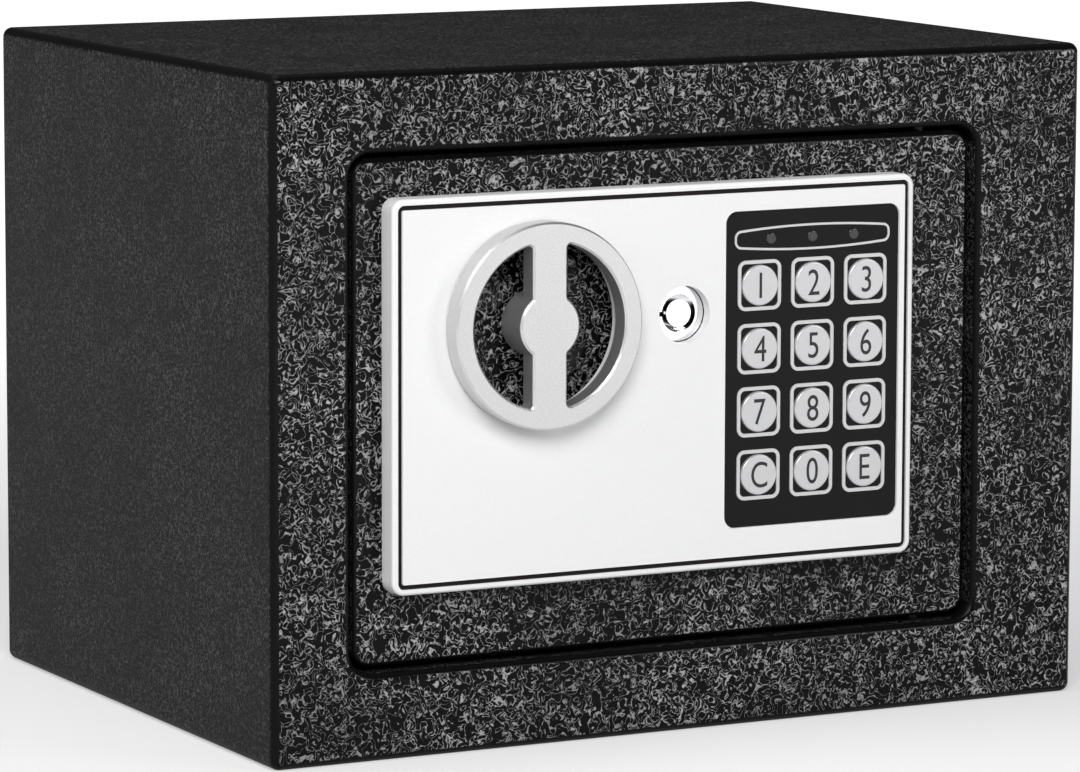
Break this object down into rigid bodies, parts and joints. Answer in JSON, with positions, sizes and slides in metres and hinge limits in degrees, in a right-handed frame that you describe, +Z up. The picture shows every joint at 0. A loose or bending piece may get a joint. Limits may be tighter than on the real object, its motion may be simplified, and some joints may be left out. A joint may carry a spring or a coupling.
{
  "type": "electronic digital safe",
  "caption": "Small steel safe with a hinged door, turn knob with sliding bolts, key lock and numbered keypad.",
  "frame": {"origin": "centre of the cabinet's base, on the face it stands on", "axes": "+X to the right as seen from the front, +Y from the door to the rear, +Z up"},
  "size_m": [0.23, 0.18, 0.17],
  "materials": {
    "cabinet_paint": "black textured powder coat",
    "door_paint": "black textured powder coat",
    "mat_felt": "grey needle felt",
    "bright_steel": "turned bright steel",
    "zinc_plate": "zinc-plated sheet",
    "chrome_lock": "polished chrome",
    "bush_plastic": "black moulded plastic",
    "fascia_silver": "satin silver",
    "knob_silver": "fine-grain silver",
    "panel_gloss": "gloss black",
    "trim_silver": "silver print",
    "lamp_dark": "smoked lens",
    "board_green": "solder mask",
    "mat_rubber": "moulded silicone",
    "battery_jacket": "plain dark sleeve",
    "coil_copper": "enamelled copper winding",
    "reset_red": "red moulded plastic",
    "key_silver": "satin silver key with a printed character"
  },
  "bodies": {
    "cabinet": {"cabinet_wrap": "cabinet_paint", "front_frame": "cabinet_paint", "rear_panel": "cabinet_paint", "floor_mat": "mat_felt", "hinge_bracket_upper": "cabinet_paint", "hinge_bracket_lower": "cabinet_paint"},
    "knob": {"knob": "knob_silver", "knob_spindle": "zinc_plate", "drive_crank": "zinc_plate"},
    "bolt_carriage": {"bolt_carriage": "zinc_plate", "locking_bolts": "bright_steel"},
    "key_lock": {"lock_cylinder": "chrome_lock", "lock_cam": "zinc_plate"},
    "solenoid_plunger": {"solenoid_plunger": "bright_steel"},
    "battery_lid": {"battery_lid": "bush_plastic"},
    "reset_button": {"reset_button": "reset_red"},
    "key_1": {"key_1": "key_silver"},
    "key_2": {"key_2": "key_silver"},
    "key_3": {"key_3": "key_silver"},
    "key_4": {"key_4": "key_silver"},
    "key_5": {"key_5": "key_silver"},
    "key_6": {"key_6": "key_silver"},
    "key_7": {"key_7": "key_silver"},
    "key_8": {"key_8": "key_silver"},
    "key_9": {"key_9": "key_silver"},
    "key_0": {"key_0": "key_silver"},
    "key_c": {"key_c": "key_silver"},
    "key_e": {"key_e": "key_silver"},
    "door": {"batteries": "battery_jacket", "battery_box": "bush_plastic", "battery_contacts": "bright_steel", "board_standoffs": "zinc_plate", "bolt_guide_plate": "door_paint", "carriage_studs": "bright_steel", "contact_mat": "mat_rubber", "control_board": "board_green", "cover_posts": "zinc_plate", "cover_screws": "bright_steel", "door_inner_cover": "door_paint", "door_plate": "door_paint", "fascia_bezel": "fascia_silver", "fascia_plate": "fascia_silver", "fascia_screws": "bright_steel", "hinge_block_lower": "door_paint", "hinge_block_upper": "door_paint", "hinge_pin_lower": "bright_steel", "hinge_pin_upper": "bright_steel", "indicator_lamps": "lamp_dark", "key_outlines": "trim_silver", "keypad_board": "board_green", "keypad_panel": "panel_gloss", "lamp_trim": "trim_silver", "lock_housing": "chrome_lock", "lock_nut": "chrome_lock", "solenoid_coil": "coil_copper", "solenoid_frame": "zinc_plate", "spindle_bush": "bush_plastic"}
  },
  "joints": [
    {"name": "door_hinge", "type": "hinge", "parent": "cabinet", "child": "door", "pos_m": [0.0705, -0.077, 0.086], "axis": [0, 0, 1], "range_deg": [0, 100]},
    {"name": "knob_turn", "type": "hinge", "parent": "door", "child": "knob", "pos_m": [-0.0444, -0.085, 0.1065], "axis": [0, 1, 0], "range_deg": [0, 60]},
    {"name": "bolt_slide", "type": "slide", "parent": "door", "child": "bolt_carriage", "axis": [-1, 0, 0], "range_m": [0, 0.014]},
    {"name": "lock_turn", "type": "hinge", "parent": "door", "child": "key_lock", "pos_m": [-0.0036, -0.085, 0.1065], "axis": [0, 1, 0], "range_deg": [-90, 0]},
    {"name": "plunger_slide", "type": "slide", "parent": "door", "child": "solenoid_plunger", "axis": [0, 0, 1], "range_m": [0, 0.005]},
    {"name": "battery_lid_pull", "type": "slide", "parent": "door", "child": "battery_lid", "axis": [0, 1, 0], "range_m": [0, 0.015]},
    {"name": "reset_press", "type": "slide", "parent": "door", "child": "reset_button", "axis": [0, -1, 0], "range_m": [0, 0.0015], "stiffness_N_per_m": 300},
    {"name": "key_1_press", "type": "slide", "parent": "door", "child": "key_1", "axis": [0, 1, 0], "range_m": [0, 0.0007], "stiffness_N_per_m": 400},
    {"name": "key_2_press", "type": "slide", "parent": "door", "child": "key_2", "axis": [0, 1, 0], "range_m": [0, 0.0007], "stiffness_N_per_m": 400},
    {"name": "key_3_press", "type": "slide", "parent": "door", "child": "key_3", "axis": [0, 1, 0], "range_m": [0, 0.0007], "stiffness_N_per_m": 400},
    {"name": "key_4_press", "type": "slide", "parent": "door", "child": "key_4", "axis": [0, 1, 0], "range_m": [0, 0.0007], "stiffness_N_per_m": 400},
    {"name": "key_5_press", "type": "slide", "parent": "door", "child": "key_5", "axis": [0, 1, 0], "range_m": [0, 0.0007], "stiffness_N_per_m": 400},
    {"name": "key_6_press", "type": "slide", "parent": "door", "child": "key_6", "axis": [0, 1, 0], "range_m": [0, 0.0007], "stiffness_N_per_m": 400},
    {"name": "key_7_press", "type": "slide", "parent": "door", "child": "key_7", "axis": [0, 1, 0], "range_m": [0, 0.0007], "stiffness_N_per_m": 400},
    {"name": "key_8_press", "type": "slide", "parent": "door", "child": "key_8", "axis": [0, 1, 0], "range_m": [0, 0.0007], "stiffness_N_per_m": 400},
    {"name": "key_9_press", "type": "slide", "parent": "door", "child": "key_9", "axis": [0, 1, 0], "range_m": [0, 0.0007], "stiffness_N_per_m": 400},
    {"name": "key_0_press", "type": "slide", "parent": "door", "child": "key_0", "axis": [0, 1, 0], "range_m": [0, 0.0007], "stiffness_N_per_m": 400},
    {"name": "key_c_press", "type": "slide", "parent": "door", "child": "key_c", "axis": [0, 1, 0], "range_m": [0, 0.0007], "stiffness_N_per_m": 400},
    {"name": "key_e_press", "type": "slide", "parent": "door", "child": "key_e", "axis": [0, 1, 0], "range_m": [0, 0.0007], "stiffness_N_per_m": 400}
  ],
  "couplings": [
    {"joint": "knob_turn", "follows": "bolt_slide", "rad_per_m": 74.79}
  ]
}
